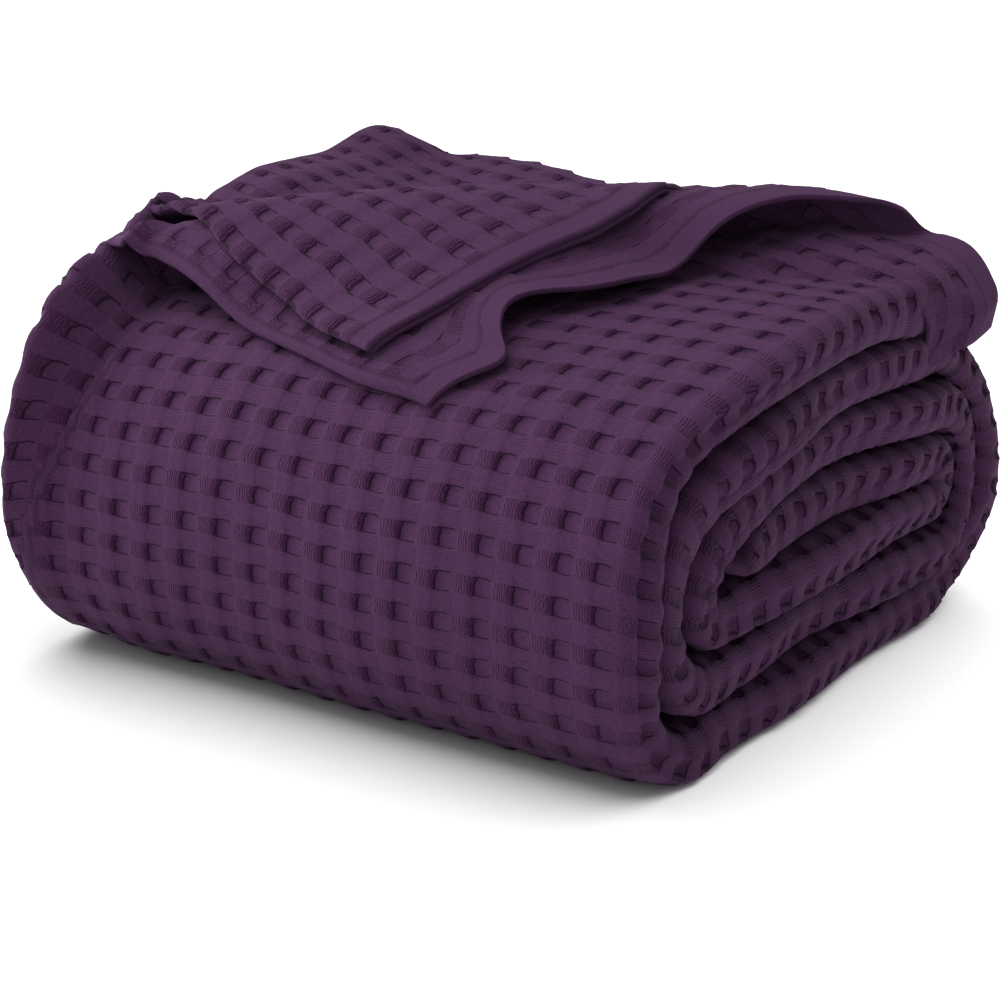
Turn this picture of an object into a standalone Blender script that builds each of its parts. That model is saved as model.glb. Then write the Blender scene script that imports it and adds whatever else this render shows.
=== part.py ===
"""Waffle weave cotton blanket, folded lengthwise into a strip of plies and wound into a flat roll.

The wound roll is one solid: the strip of plies follows a flattened spiral of seven layers.
The loose end is two sheets: the outermost ply, turned back on itself so that its corner lies on
the roll's front, and the doubled ply that lies over it and over the raised back of the roll.

World axes: X along the roll, -Y the rounded front, +Z up. The roll rests on z = 0.
"""

import functools
import math

import bmesh
import bpy
import numpy as np
from mathutils import Vector

MM = 0.001

# The strip of plies
STRIP_LEFT, STRIP_RIGHT = -148 * MM, 148 * MM
STRIP_THICK = 19 * MM
FLOOR_GAP = 72.5 * MM          # height of the section's zero line over the surface it rests on
MIDDLE_Y = 151 * MM            # the section's y of the roll's middle
ORIGIN = Vector((1.5 * MM, -5.3 * MM, 0.0))   # middle of the whole blanket, loose end included

# The wound section, seen from the right end: one row for each layer, outermost first, in the
# order in which the strip runs. "from" is where the strip enters the layer, "to" where it
# leaves it, slopes are rise over run, and "bend" is the fullness of the bend that follows.
LAYER_COLUMNS = ("from_y", "from_z", "from_slope", "to_y", "to_z", "to_slope", "bend")
LAYERS = (
    (262, 68.5, 0.00, 50, 54.0, 0.33, 0.484),     # top, running forwards from the free end
    (50, -63.0, 0.00, 235, -63.0, 0.00, 0.70),    # flat on the floor, running back
    (235, 45.0, -0.05, 58, 34.0, 0.33, 0.52),     # second from the top
    (58, -43.0, 0.03, 238, -42.5, -0.03, 0.67),   # second from the floor
    (238, 22.0, -0.08, 70, 15.5, 0.30, 0.66),     # third from the top
    (70, -22.0, 0.07, 236, -20.5, -0.07, 0.67),   # third from the floor
    (236, 0.5, -0.02, 76, -2.5, 0.24, 0.00),      # the core, ending inside the front bends
)
LAYER_STEPS = 12
BEND_STEPS = 9
END_ROUNDING = (0.0, 0.35, 0.7, 0.92, 1.0)        # share of the thickness at the strip's two ends

# The strip's own section: flat faces and two full rounds where the plies fold
FACE_SHARES = (-1.0, -0.88, -0.72, -0.45, 0.0, 0.5, 1.0)   # closer where the left end swells
ROUND_STEPS = 5
ROUND_REACH = 12 * MM

# The left end swells where the plies fold: places along the strip from its free end, and how
# far the outermost turn stands out there at the very end
SWELLS = {
    "run": (190, 205, 222, 240, 252, 277, 300, 326, 360),
    "outwards": (0, 6, 15, 19, 18, 13, 10, 7, 0),
}
SWELL_STARTS_AT, SWELL_REACH = -116 * MM, 30 * MM

# The raised back, where the plies under the loose end lie thick: a low part all along, a higher
# one at the left, and a peak near the left end of the free end
HILL_LOW, HILL_LEFT, HILL_PEAK = 8 * MM, 11 * MM, 8 * MM
HILL_LOW_ENDS = -10 * MM, 60 * MM          # x where the low part fades out
HILL_LEFT_REACH = 78 * MM
HILL_PEAK_AT = Vector((-140 * MM, 84 * MM))
HILL_PEAK_REACH = 42 * MM
HILL_START, HILL_RISE = 18 * MM, 40 * MM   # behind the crease

# The crease of the turned-back corner, in plan, from the left end to the free end's right corner
CREASE_LEFT = Vector((-136 * MM, -94 * MM))
CREASE_RIGHT = Vector((125 * MM, 111 * MM))
FREE_END_Y = 113 * MM
LOOP_RADIUS, HEM_LOOP_RADIUS = 10 * MM, 14 * MM
LIFT_HEIGHT, LIFT_LENGTH = 8 * MM, 34 * MM   # the loop's foot lifts at the hem
LAY_DOWN_LEFT, LAY_DOWN_RIGHT = 52 * MM, 104 * MM   # length over which the turned ply comes down
SHEET = 3 * MM
CLEAR = 1.3 * MM
ROOT_LEFT, ROOT_RIGHT = Vector((-131 * MM, -100 * MM)), Vector((160 * MM, 62 * MM))
RIGHT_WRAP = 37 * MM           # how much of it goes round the strip's right end
SHEET_CELL = 8.5 * MM
END_SPREAD = 4 * MM              # the turns' ends stand out by up to this much

# Ripples of the turned-back hem: each at its distance from the corner along the hem
RIPPLE_COLUMNS = ("at", "width", "sideways", "lift")
RIPPLES = (
    (26, 16, 7.0, 0.0),
    (64, 24, -15.0, 2.0),
    (165, 40, -6.0, 3.0),
)
RIPPLE_DEPTH = 60 * MM         # how far in from the hem they die out

# The doubled ply on top: its front fold from the left to the tip, and its hem from there back
TOP_SHEET, TOP_CLEAR = 4.5 * MM, 3.0 * MM      # two plies, and the room under them at the fold
BACK_CLEAR = 1.7 * MM                          # and over the raised back
TOP_FRONT = {
    "x": (-140, -109, -85, -66, -45, -22, 8),
    "y": (-66, -73, -84, -88, -95, -110, -121),
}
TOP_HEM = {
    "x": (8, 13, 23, 36, 33, 30),
    "y": (-121, -88, -38, 31, 70, 111),
}
TOP_CORNER = Vector((-140 * MM, -66 * MM))
TOP_BACK_Y = 111 * MM
TOP_SPREAD = 30 * MM           # the sheet widens to its hem over this much behind its front fold
TOP_SWELL, TOP_SWELL_REACH = 9 * MM, 26 * MM   # the fold's left corner stands up
HEM_CURL, HEM_CURL_REACH = 13 * MM, 45 * MM    # the hem's back end curls up
HEM_CURL_FROM, HEM_CURL_TO = 20 * MM, 90 * MM  # over this stretch of y


def smooth(t):
    """Goes from 0 to 1 with level ends."""
    t = min(max(t, 0.0), 1.0)
    return t * t * (3 - 2 * t)


def layer_point(layer, t):
    """A point of a layer's middle line: a cubic that leaves its two ends at the stated slopes."""
    run = layer["to_y"] - layer["from_y"]
    a, b = layer["from_z"], layer["to_z"]
    slope_a, slope_b = layer["from_slope"] * run, layer["to_slope"] * run
    z = (
        (2 * t**3 - 3 * t**2 + 1) * a
        + (t**3 - 2 * t**2 + t) * slope_a
        + (3 * t**2 - 2 * t**3) * b
        + (t**3 - t**2) * slope_b
    )
    return layer["from_y"] + run * t, z


def bend_point(layer, following, t):
    """A point of the bend from one layer into the next: a Bezier curve along both layers."""
    start = Vector((layer["to_y"], layer["to_z"]))
    end = Vector((following["from_y"], following["from_z"]))
    reach = layer["bend"] * (end - start).length
    outwards = math.copysign(1, layer["to_y"] - layer["from_y"])
    leave = Vector((outwards, outwards * layer["to_slope"])).normalized() * reach
    enter = Vector((outwards, outwards * following["from_slope"])).normalized() * reach
    a, b, c, d = start, start + leave, end + enter, end
    return tuple((1 - t) ** 3 * a + 3 * (1 - t) ** 2 * t * b + 3 * (1 - t) * t**2 * c + t**3 * d)


def winding():
    """The strip's middle line from the free end to the core, as an array of (y, z) in metres."""
    layers = [dict(zip(LAYER_COLUMNS, row)) for row in LAYERS]
    points = []
    for layer, following in zip(layers, layers[1:] + [None]):
        points += [layer_point(layer, i / LAYER_STEPS) for i in range(LAYER_STEPS)]
        if following is None:
            points.append(layer_point(layer, 1.0))
        else:
            points += [bend_point(layer, following, i / BEND_STEPS) for i in range(BEND_STEPS)]
    line = np.array(points) * MM
    return line + (-MIDDLE_Y, FLOOR_GAP)


def outward_normals(line):
    """Unit normals of the middle line, on the side of the next turn out."""
    along = np.gradient(line, axis=0)
    along /= np.linalg.norm(along, axis=1)[:, None]
    return np.stack([along[:, 1], -along[:, 0]], axis=1)


def table_value(table, known, wanted, at):
    """Reads a table in millimetres: one column's value where another column is at this value."""
    return float(np.interp(at / MM, table[known], table[wanted])) * MM


def swell(x, run):
    """How far the outermost turn stands out near the strip's left end."""
    return smooth((SWELL_STARTS_AT - x) / SWELL_REACH) * table_value(SWELLS, "run", "outwards", run)


def running_length(line):
    steps = np.linalg.norm(np.diff(line, axis=0), axis=1)
    return np.concatenate([[0], np.cumsum(steps)])


@functools.lru_cache(maxsize=None)
def top_profile(x_mm):
    """The roll's top over y at this x, as two arrays for interpolation, before it is raised."""
    line = winding()
    steps = LAYER_STEPS + BEND_STEPS // 2 + 1
    out = [STRIP_THICK / 2 + swell(x_mm * MM, run) for run in running_length(line)[:steps]]
    faces = line[:steps] + outward_normals(line)[:steps] * np.array(out)[:, None]
    return faces[::-1, 0], faces[::-1, 1]


def top_height(x, y):
    return float(np.interp(y, *top_profile(round(x / MM))))


def crease_axes():
    along = (CREASE_RIGHT - CREASE_LEFT).normalized()
    return along, Vector((along.y, -along.x))


def crease_coordinates(x, y):
    """Distance along the crease from its left end, and in front of it."""
    along, front = crease_axes()
    offset = Vector((x, y)) - CREASE_LEFT
    return offset.dot(along), offset.dot(front)


def hill(x, y):
    """How far the plies behind the crease raise the roll's top."""
    behind = -crease_coordinates(x, y)[1]
    fade_from, fade_to = HILL_LOW_ENDS
    low = HILL_LOW * smooth((fade_to - x) / (fade_to - fade_from))
    left = HILL_LEFT * smooth(1 - (x - STRIP_LEFT) / HILL_LEFT_REACH)
    peak = HILL_PEAK * smooth(1 - (Vector((x, y)) - HILL_PEAK_AT).length / HILL_PEAK_REACH)
    return (low + left + peak) * smooth((behind - HILL_START) / HILL_RISE)


def strip_ring():
    """The strip's section as (share of the half width, share of the half thickness, round)."""
    turn = [math.pi * i / (ROUND_STEPS + 1) for i in range(1, ROUND_STEPS + 1)]
    outer = [(share, 1.0, 0.0) for share in FACE_SHARES]
    right = [(1.0, math.cos(a), math.sin(a)) for a in turn]
    inner = [(share, -1.0, 0.0) for share in reversed(FACE_SHARES)]
    left = [(-1.0, -math.cos(a), -math.sin(a)) for a in turn]
    return outer + right + inner + left


def end_shift(run):
    """How far each turn's end stands out or in, along X, over the length of the winding."""
    return 3.0 * MM * math.sin(run / (61 * MM)) + 2.0 * MM * math.sin(run / (23 * MM) + 1.0)


def grid_mesh(columns, rows, place):
    """A grid of faces, each of its (columns + 1) x (rows + 1) points put where place says."""
    mesh = bmesh.new()
    bmesh.ops.create_grid(mesh, x_segments=columns, y_segments=rows, size=1.0)
    for vert in mesh.verts:
        u, v = (vert.co.x + 1) / 2, (vert.co.y + 1) / 2
        vert.co = place(round(u * columns), round(v * rows))
    return mesh


def build_roll():
    """The wound strip: its ring swept along the winding, closed at both ends."""
    line = winding()
    normals = outward_normals(line)
    runs = running_length(line)
    ring = strip_ring()
    half = (STRIP_RIGHT - STRIP_LEFT) / 2 - ROUND_REACH
    last = len(line) - 1

    def place(i, j):
        share_x, share_n, bulge = ring[j % len(ring)]
        from_end = min(i, last - i)
        thick = END_ROUNDING[from_end + 1] if from_end + 1 < len(END_ROUNDING) else 1.0
        x = share_x * half + bulge * ROUND_REACH + abs(share_x) ** 3 * share_x * end_shift(runs[i])
        out = thick * STRIP_THICK / 2
        if share_n > 0:
            out += swell(x, runs[i])
        y, z = line[i] + normals[i] * share_n * out
        if share_n > 0 and i <= LAYER_STEPS:
            z += hill(x, y) * share_n
        return Vector((x, y, z))

    mesh = grid_mesh(last, len(ring), place)
    bmesh.ops.remove_doubles(mesh, verts=mesh.verts, dist=1e-6)
    bmesh.ops.holes_fill(mesh, edges=[e for e in mesh.edges if e.is_boundary], sides=0)
    bmesh.ops.recalc_face_normals(mesh, faces=mesh.faces)
    return mesh


def fold_section(along, reach):
    """Where cloth at this distance past the crease lies: (in front of the crease, height)."""
    share = along / (CREASE_RIGHT - CREASE_LEFT).length
    lift = LIFT_HEIGHT * smooth((share - 0.6) / 0.4)
    radius = LOOP_RADIUS + (HEM_LOOP_RADIUS - LOOP_RADIUS) * smooth((share - 0.55) / 0.4) - lift / 2
    if reach <= 0:
        return -reach, lift * smooth(1 + reach / LIFT_LENGTH)
    angle = reach / radius
    if angle < math.pi:
        return -radius * math.sin(angle), lift + radius * (1 - math.cos(angle))
    ahead = reach - math.pi * radius
    length = LAY_DOWN_LEFT + (LAY_DOWN_RIGHT - LAY_DOWN_LEFT) * smooth(2 * share)
    top = lift + 2 * radius
    return ahead * 0.98, top + (SHEET + CLEAR - top) * smooth(ahead / length)


def over_roll(x, y, height):
    """The point this far off the roll's top face, which slopes down towards the front."""
    step = 2 * MM
    slope = (top_height(x, y + step) - top_height(x, y - step)) / (2 * step)
    return Vector((x, y, top_height(x, y) + height * math.sqrt(1 + slope**2)))


def hem_ripple(along_hem, from_hem):
    """The ripples' (sideways, lift) at a place of the turned-back ply."""
    fade = smooth(1 - from_hem / RIPPLE_DEPTH)
    sideways = lift = 0.0
    for row in RIPPLES:
        ripple = dict(zip(RIPPLE_COLUMNS, row))
        wave = fade * MM * math.exp(-(((along_hem / MM - ripple["at"]) / ripple["width"]) ** 2))
        sideways += ripple["sideways"] * wave
        lift += ripple["lift"] * wave
    return sideways, lift


def round_end(x, point, hold):
    """Takes a ply's point that reaches past either end of the strip round that end."""
    side = math.copysign(1, x)
    start = STRIP_RIGHT - ROUND_REACH
    if abs(x) <= start:
        return point
    across = ROUND_REACH + END_SPREAD + CLEAR + SHEET / 2
    down = STRIP_THICK / 2 + CLEAR + SHEET / 2
    angle = (abs(x) - start) / ((across + down) / 2)
    drop = down * (1 - math.cos(angle)) * hold
    return Vector((side * (start + across * math.sin(angle)), point.y, point.z - drop))


def lower_ply_point(x, y):
    """The outermost ply's point that lay at (x, y) on the roll before its corner was turned."""
    along, front = crease_axes()
    place, ahead = crease_coordinates(x, y)
    front_by, height = fold_section(place, -ahead)
    flat = CREASE_LEFT + along * place + front * front_by
    sideways, lift = hem_ripple(x - STRIP_LEFT, FREE_END_Y - y)
    turned = smooth(-ahead / (2 * LOOP_RADIUS))
    base_x = max(min(flat.x, STRIP_RIGHT - ROUND_REACH), STRIP_LEFT + ROUND_REACH)
    raised = height + lift * turned + SHEET / 2 + CLEAR
    point = over_roll(base_x, flat.y, raised)
    point.x += sideways * turned
    return round_end(flat.x + sideways * turned, point, 1 - turned)


def solid_sheet(name, mesh, thickness):
    """Gives a sheet's surface its thickness, half of it on each side."""
    bmesh.ops.recalc_face_normals(mesh, faces=mesh.faces)
    obj = new_object(name, mesh)
    solid = obj.modifiers.new("Thickness", "SOLIDIFY")
    solid.thickness = thickness
    solid.offset = 0.0
    solid.use_even_offset = True
    return obj


def build_lower_ply():
    """The outer ply from just before its crease to its hem, cut flat and then turned back."""
    left, right = STRIP_LEFT - 3 * MM, STRIP_RIGHT - ROUND_REACH + RIGHT_WRAP
    front = ROOT_LEFT.y - 8 * MM
    columns = round((right - left) / SHEET_CELL)
    rows = round((FREE_END_Y - front) / SHEET_CELL)

    def flat(i, j):
        return Vector((left + (right - left) * i / columns, front + (FREE_END_Y - front) * j / rows, 0))

    mesh = grid_mesh(columns, rows, flat)
    root = ROOT_RIGHT - ROOT_LEFT
    forwards = Vector((root.y, -root.x, 0))
    geometry = mesh.verts[:] + mesh.edges[:] + mesh.faces[:]
    bmesh.ops.bisect_plane(
        mesh, geom=geometry, dist=1e-5, plane_co=ROOT_LEFT.to_3d(), plane_no=forwards, clear_outer=True
    )
    for vert in mesh.verts:
        vert.co = lower_ply_point(vert.co.x, vert.co.y)
    return mesh


def upper_ply_height(x, y):
    """The doubled ply lies over the turned corner, crests on its crease and runs back."""
    place, ahead = crease_coordinates(x, y)
    gap = SHEET / 2 + CLEAR + SHEET / 2 + TOP_CLEAR + TOP_SHEET / 2
    crest = 2 * LOOP_RADIUS + gap
    from_corner = (Vector((x, y)) - TOP_CORNER).length
    corner_lift = TOP_SWELL * smooth(1 - from_corner / TOP_SWELL_REACH)
    if ahead >= 0:
        reach = ahead / 0.98 + math.pi * LOOP_RADIUS
        return fold_section(place, reach)[1] + gap + corner_lift
    hem_x = table_value(TOP_HEM, "y", "x", y)
    curl = smooth(1 - (hem_x - x) / HEM_CURL_REACH)
    curl *= HEM_CURL * smooth((y - HEM_CURL_FROM) / (HEM_CURL_TO - HEM_CURL_FROM))
    plateau = hill(x, y) + TOP_SHEET / 2 + BACK_CLEAR + curl
    over_loop = crest + (plateau - crest) * smooth(-ahead / (HILL_START + HILL_RISE))
    return max(over_loop, plateau) + corner_lift


def build_upper_ply():
    """A four-sided sheet from its front fold to the back, worked out side to side and end to end."""
    left, tip = TOP_FRONT["x"][0] * MM, TOP_FRONT["x"][-1] * MM
    columns = round((tip - left) / SHEET_CELL)
    rows = round((TOP_BACK_Y - TOP_FRONT["y"][-1] * MM) / SHEET_CELL)

    def place(i, j):
        u, v = i / columns, j / rows
        front_x = left + (tip - left) * u
        front_y = table_value(TOP_FRONT, "x", "y", front_x)
        y = front_y + (TOP_BACK_Y - front_y) * v
        hem_x = table_value(TOP_HEM, "y", "x", y)
        x = front_x + (hem_x - tip) * u * smooth((y - front_y) / TOP_SPREAD) ** 0.5
        return over_roll(x, y, upper_ply_height(x, y))

    return grid_mesh(columns, rows, place)


def clear_scene():
    for obj in list(bpy.data.objects):
        bpy.data.objects.remove(obj, do_unlink=True)


def new_object(name, mesh):
    bmesh.ops.translate(mesh, verts=mesh.verts, vec=-ORIGIN)
    data = bpy.data.meshes.new(name)
    mesh.to_mesh(data)
    mesh.free()
    data.shade_smooth()
    obj = bpy.data.objects.new(name, data)
    COLLECTION.objects.link(obj)
    return obj


def cotton(name, colour):
    """Soft, matt cotton in the cloth's dusty purple."""
    material = bpy.data.materials.new(name)
    material.use_nodes = True
    shader = material.node_tree.nodes["Principled BSDF"]
    shader.inputs["Base Color"].default_value = (*colour, 1.0)
    shader.inputs["Roughness"].default_value = 0.92
    shader.inputs["Metallic"].default_value = 0.0
    return material


clear_scene()
COLLECTION = bpy.data.collections.new("waffle_blanket")
bpy.context.scene.collection.children.link(COLLECTION)

roll = new_object("wound_roll", build_roll())
roll.data.materials.append(cotton("roll_cotton", (0.105, 0.052, 0.112)))

lower_ply = solid_sheet("turned_back_ply", build_lower_ply(), SHEET)
lower_ply.data.materials.append(cotton("turned_ply_cotton", (0.110, 0.054, 0.116)))

upper_ply = solid_sheet("doubled_top_ply", build_upper_ply(), TOP_SHEET)
upper_ply.data.materials.append(cotton("top_ply_cotton", (0.115, 0.057, 0.121)))
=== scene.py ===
# %% [markdown]
# # A waffle weave cotton blanket, folded and rolled
# The blanket is one woven panel. It was folded lengthwise into a strip of eight plies, and the
# strip was wound from one end into a soft, flattened roll. One corner of the outermost ply is
# turned back over the top, with a doubled ply of the loose end lying over it.
# We dress the plain solids of the model with cloth: every surface is laid out in the cells of
# the weave first, and then bent into its place. So the pattern follows the cloth everywhere.

import math
from types import SimpleNamespace

import bmesh
import bpy
import numpy as np
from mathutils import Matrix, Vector


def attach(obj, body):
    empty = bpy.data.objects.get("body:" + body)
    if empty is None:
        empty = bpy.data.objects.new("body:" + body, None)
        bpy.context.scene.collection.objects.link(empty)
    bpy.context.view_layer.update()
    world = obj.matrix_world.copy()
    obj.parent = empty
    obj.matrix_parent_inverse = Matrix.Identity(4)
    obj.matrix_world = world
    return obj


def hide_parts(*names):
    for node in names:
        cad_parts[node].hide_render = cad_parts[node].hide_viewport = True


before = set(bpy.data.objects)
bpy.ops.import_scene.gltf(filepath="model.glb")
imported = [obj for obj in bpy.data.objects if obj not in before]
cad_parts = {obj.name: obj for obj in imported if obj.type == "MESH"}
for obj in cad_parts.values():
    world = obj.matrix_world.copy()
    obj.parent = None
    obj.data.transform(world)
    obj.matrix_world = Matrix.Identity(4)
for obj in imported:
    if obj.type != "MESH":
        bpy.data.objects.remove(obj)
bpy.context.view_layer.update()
MM = 0.001

# %% [markdown]
# ## The cell of the weave
# A waffle cell is about 17 mm square. In its upper half, loose threads float over a raised,
# ribbed block, and beside it lies a sunk, smooth pocket. The lower half is flat: a plain block
# under the float and a finely ribbed one under the pocket. We give each point of the cloth two
# numbers, u across and v along, counted in cells. The relief is then one short function of
# u and v, and a few grid lines placed at the edges of the blocks give it crisp steps.

# %% The cell's size and its grid lines
CELL = 17.0  # mm
POCKET_U = (0.48, 0.97)  # the pocket's left and right edge, in cells
POCKET_V = (0.04, 0.47)  # its two other edges
LINES_U = (0.0, 0.16, 0.32, 0.44, 0.495, 0.62, 0.78, 0.93, 0.975)
LINES_V = (0.0, 0.03, 0.075, 0.20, 0.33, 0.44, 0.49, 0.64, 0.82)


def smooth(t):
    """Goes from 0 to 1 with level ends."""
    t = np.clip(t, 0.0, 1.0)
    return t * t * (3 - 2 * t)


def window(f, start, end, soft):
    """1 between start and end, 0 outside, with soft edges."""
    return smooth((f - start) / soft + 0.5) * smooth((end - f) / soft + 0.5)


def cell_lines(first, last, lines):
    """The grid lines of all the cells between two places, the places themselves included."""
    inside = [c + f for c in range(math.floor(first), math.ceil(last)) for f in lines]
    inside = [v for v in inside if first + 0.03 < v < last - 0.03]
    return np.array([first, *inside, last])


# %% The relief of the cell
FLOAT_RISE, POCKET_DEPTH, PLAIN_RISE = 0.75, 0.95, 0.32  # mm


def chance(i, j, seed):
    """A fixed random number from 0 to 1 for each cell."""
    mixed_up = np.sin(i * 12.9898 + j * 78.233 + seed * 37.719) * 43758.5453
    return mixed_up - np.floor(mixed_up)


def from_pocket(u, v):
    """Where a point lies from the middle of its nearest pocket, in half pockets, and which it is."""
    middle_u, middle_v = sum(POCKET_U) / 2, sum(POCKET_V) / 2
    i, j = np.floor(u - middle_u + 0.5), np.floor(v - middle_v + 0.5)
    x = (u - middle_u - i) * 2 / (POCKET_U[1] - POCKET_U[0])
    y = (v - middle_v - j) * 2 / (POCKET_V[1] - POCKET_V[0])
    return x, y, i, j


def relief(u, v):
    """Height of the cloth's face over its middle level, in mm."""
    fu, fv = u % 1.0, v % 1.0
    x, y, i, j = from_pocket(u, v)
    pocket = window(fu, *POCKET_U, 0.05) * window(fv, *POCKET_V, 0.06)
    pocket = pocket * (1 - 0.55 * smooth((x + 0.9) / 1.8)) * (0.8 + 0.4 * chance(i, j, 1))
    floats = window(fu, -0.03, POCKET_U[0], 0.05) * window(fv, -0.02, 0.5, 0.10)
    floats = floats * (0.15 + 0.85 * smooth(fu / 0.42)) * (0.8 + 0.4 * chance(np.floor(u), j, 2))
    plain = window(fv, 0.5, 1.0, 0.12) * window(fu, 0.0, 0.5, 0.12)
    return FLOAT_RISE * floats + PLAIN_RISE * plain - POCKET_DEPTH * pocket


print("relief in mm: float %.2f, pocket %.2f" % (relief(0.4, 0.25), relief(0.55, 0.25)))

# %% The pull of the threads
# The floating threads draw each pocket's edge inwards at its corners, most at its top left.
# So the grid is moved sideways too, and every line of the pattern bends with it.
TOP_LEFT_PULL, LOW_LEFT_PULL, RIGHT_PULL, ROW_PULL = 0.56, 0.26, 0.08, 0.24


def pulled(u, v):
    """Where a point of the even pattern comes to lie in the woven cloth, in cells."""
    x, y, i, j = from_pocket(u, v)
    near = 1 - smooth((np.maximum(np.abs(x), np.abs(y)) - 1) / 0.75)
    cx, cy = np.clip(x, -1, 1), np.clip(y, -1, 1)
    pull = np.where(x > 0, RIGHT_PULL, np.where(y < 0, TOP_LEFT_PULL, LOW_LEFT_PULL))
    pull = pull * (0.75 + 0.45 * chance(i, j, 3))
    half_u, half_v = (POCKET_U[1] - POCKET_U[0]) / 2, (POCKET_V[1] - POCKET_V[0]) / 2
    du = half_u * cx * (np.sqrt(1 - pull * cy**2) - 1) * near
    dv = half_v * cy * (np.sqrt(1 - ROW_PULL * cx**2) - 1) * near
    du = du + 0.035 * np.sin(1.1 * v + 0.7 * np.sin(0.6 * u)) + 0.015 * np.sin(2.7 * v + u)
    dv = dv + 0.035 * np.sin(0.9 * u + 0.8 * np.sin(0.5 * v)) + 0.015 * np.sin(2.3 * u - v)
    return u + du, v + dv

# %% [markdown]
# ## The winding
# Seen from the end, the strip runs in seven layers: over the top, round the rounded front,
# back along the floor, up the back, and so on inwards. Each layer is a shallow curve between
# two bends. The real roll is flattened by its own weight, so a plain spiral would look wrong:
# a short table of layers gives each one its height and slope, as on the solid.

# %% The layers of the winding
STRIP_THICK = 19.0
FLOOR_GAP, MIDDLE_Y = 72.5, 145.7
LAYER_COLUMNS = ("from_y", "from_z", "from_slope", "to_y", "to_z", "to_slope", "bend")
LAYERS = (
    (262, 68.5, 0.00, 50, 54.0, 0.33, 0.484),
    (50, -63.0, 0.00, 235, -63.0, 0.00, 0.70),
    (235, 45.0, -0.05, 58, 34.0, 0.33, 0.52),
    (58, -43.0, 0.03, 238, -42.5, -0.03, 0.67),
    (238, 22.0, -0.08, 70, 15.5, 0.30, 0.66),
    (70, -22.0, 0.07, 236, -20.5, -0.07, 0.67),
    (236, 0.5, -0.02, 76, -2.5, 0.24, 0.00),
)
FINE = 48  # points of each layer and of each bend


def layer_curve(layer):
    """The layer's middle line: a cubic that leaves both ends at the stated slopes."""
    t = np.arange(FINE) / FINE
    run = layer["to_y"] - layer["from_y"]
    z = (
        (2 * t**3 - 3 * t**2 + 1) * layer["from_z"]
        + (t**3 - 2 * t**2 + t) * layer["from_slope"] * run
        + (3 * t**2 - 2 * t**3) * layer["to_z"]
        + (t**3 - t**2) * layer["to_slope"] * run
    )
    return np.stack([layer["from_y"] + run * t, z], axis=1)


def bend_curve(layer, following):
    """The bend into the next layer: a Bezier curve that runs on along both."""
    start = np.array([layer["to_y"], layer["to_z"]])
    end = np.array([following["from_y"], following["from_z"]])
    outwards = math.copysign(1, layer["to_y"] - layer["from_y"])
    reach = layer["bend"] * np.linalg.norm(end - start)
    leave = np.array([outwards, outwards * layer["to_slope"]])
    enter = np.array([outwards, outwards * following["from_slope"]])
    leave, enter = (reach * d / np.linalg.norm(d) for d in (leave, enter))
    t = (np.arange(FINE) / FINE)[:, None]
    weights = (1 - t) ** 3, 3 * (1 - t) ** 2 * t, 3 * (1 - t) * t**2, t**3
    return sum(w * p for w, p in zip(weights, (start, start + leave, end + enter, end)))


def winding():
    layers = [dict(zip(LAYER_COLUMNS, row)) for row in LAYERS]
    parts = []
    for layer, following in zip(layers, layers[1:] + [None]):
        parts.append(layer_curve(layer))
        if following:
            parts.append(bend_curve(layer, following))
    parts.append(np.array([[layers[-1]["to_y"], layers[-1]["to_z"]]]))
    return np.concatenate(parts) + (-MIDDLE_Y, FLOOR_GAP)


LINE = winding()
ALONG = np.gradient(LINE, axis=0)
ALONG /= np.linalg.norm(ALONG, axis=1)[:, None]
OUTWARDS = np.stack([ALONG[:, 1], -ALONG[:, 0]], axis=1)
RUN = np.concatenate([[0], np.cumsum(np.linalg.norm(np.diff(LINE, axis=0), axis=1))])
TOP_END = RUN[FINE]
FIRST_TURN_END = RUN[4 * FINE] + 60
print("the strip is %.2f m long, its first turn %.2f m" % (RUN[-1] * MM, FIRST_TURN_END * MM))

# %% [markdown]
# ## Rows of cells along the strip
# The cloth's rows lie nearly 17 mm apart on the top and closer round the front, where the outer
# plies are pressed together. We count rows along the strip's outer face and turn the count
# into a place with one interpolation.

# %% Count the rows
PITCH_TOP, PITCH_FRONT, PITCH_REST = 16.7, 14.9, 16.2  # mm between rows
FRONT_FROM, FRONT_TO = TOP_END - 5, TOP_END + 105  # the front bend's stretch of the strip
ROW_SHIFT, COLUMN_SHIFT = -0.11, -0.14  # so that the cells lie as on the cloth


def row_pitch(run):
    front = smooth((run - FRONT_FROM) / 60) * smooth((FRONT_TO + 60 - run) / 60)
    rest = smooth((run - FRONT_TO) / 60)
    flat = PITCH_TOP + (PITCH_REST - PITCH_TOP) * rest
    return flat + (PITCH_FRONT - flat) * front


OUTER = LINE + OUTWARDS * STRIP_THICK / 2
OUTER_STEPS = np.linalg.norm(np.diff(OUTER, axis=0), axis=1)
ROWS = np.concatenate([[0], np.cumsum(OUTER_STEPS / row_pitch(RUN[1:]))]) + ROW_SHIFT
print("rows along the strip: %.1f" % (ROWS[-1] - ROWS[0]))

# %% [markdown]
# ## The strip's section
# Across the roll the strip has a flat outer face, a full round at each end where its plies
# fold, and an inner face that is hidden. The outermost turn stands out at its left end, and
# the back of the roll is raised where more plies lie under the loose end.

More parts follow.
